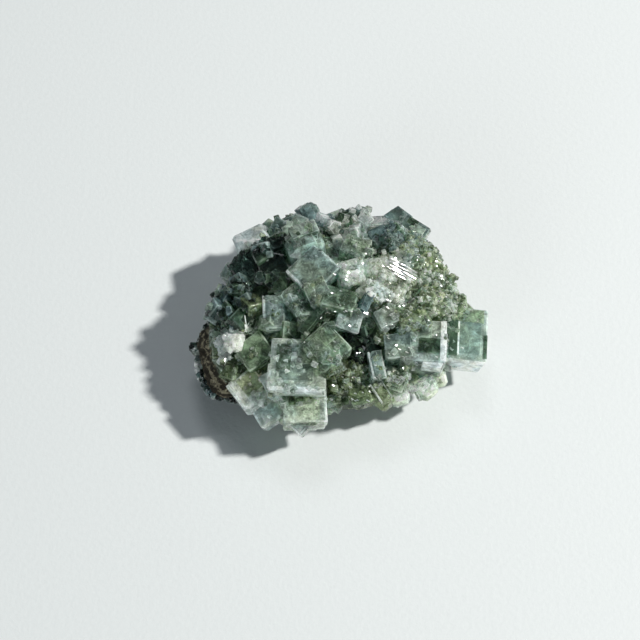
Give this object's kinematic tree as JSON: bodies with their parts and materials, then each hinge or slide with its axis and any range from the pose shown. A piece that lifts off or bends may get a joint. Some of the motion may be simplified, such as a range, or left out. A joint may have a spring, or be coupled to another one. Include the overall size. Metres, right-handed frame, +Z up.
{
  "type": "fluorite specimen",
  "caption": "Free-standing mineral specimen: a domed crust of intergrown, see-through green cubes on a wedge of brown matrix rock.",
  "frame": {"origin": "on the surface that the specimen rests on, below the middle of its outline in plan", "axes": "+X to the right as the picture shows it, along its length; +Y away from the viewer; +Z up"},
  "size_m": [0.0642, 0.0548, 0.0262],
  "materials": {
    "fluorite_green": "polished",
    "matrix_rock": "matte",
    "fluorite_dark": "polished"
  },
  "bodies": {
    "root": {"fluorite_crystals": "fluorite_green", "matrix": "matrix_rock", "edge_druse": "fluorite_dark"}
  },
  "joints": []
}
